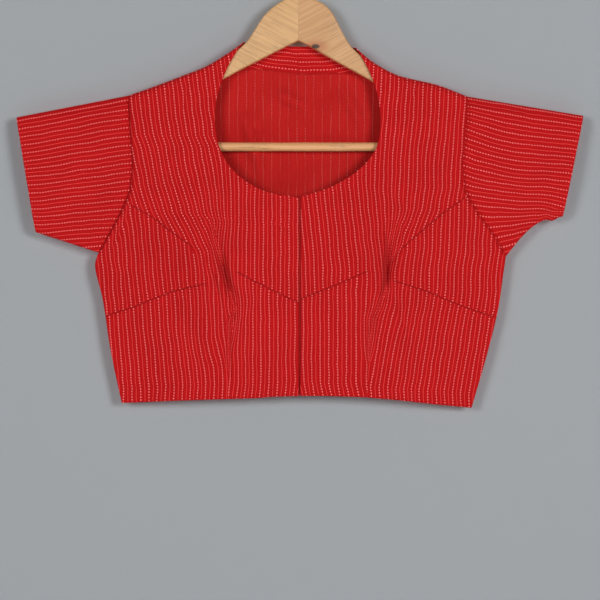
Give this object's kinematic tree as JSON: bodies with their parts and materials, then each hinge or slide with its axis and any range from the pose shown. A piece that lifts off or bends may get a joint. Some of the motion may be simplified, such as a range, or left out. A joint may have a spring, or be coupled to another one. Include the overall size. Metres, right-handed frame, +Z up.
{
  "type": "choli blouse on a wooden hanger",
  "caption": "Short fitted choli blouse with short sleeves, a wide round neck and a front opening, hanging on a flat wooden hanger with a bar.",
  "frame": {"origin": "the point inside the hanger's hook that rests on a rail", "axes": "+Z up; the front of the blouse faces -Y; +X towards the wearer's left sleeve"},
  "size_m": [0.6285, 0.0435, 0.518],
  "materials": {
    "cloth": "red plain-woven cotton with fine pinkish white dashed and solid stripes",
    "wood": "pale varnished wood",
    "steel": "bright plated wire"
  },
  "bodies": {
    "root": {"front_right": "cloth", "front_left": "cloth", "sleeve_right": "cloth", "sleeve_left": "cloth", "back": "cloth", "collar_facing_right": "cloth", "collar_facing_left": "cloth", "button_stand": "cloth", "hanger_arm_right": "wood", "hanger_arm_left": "wood", "hanger_bar": "wood", "hanger_hook": "steel"}
  },
  "joints": []
}
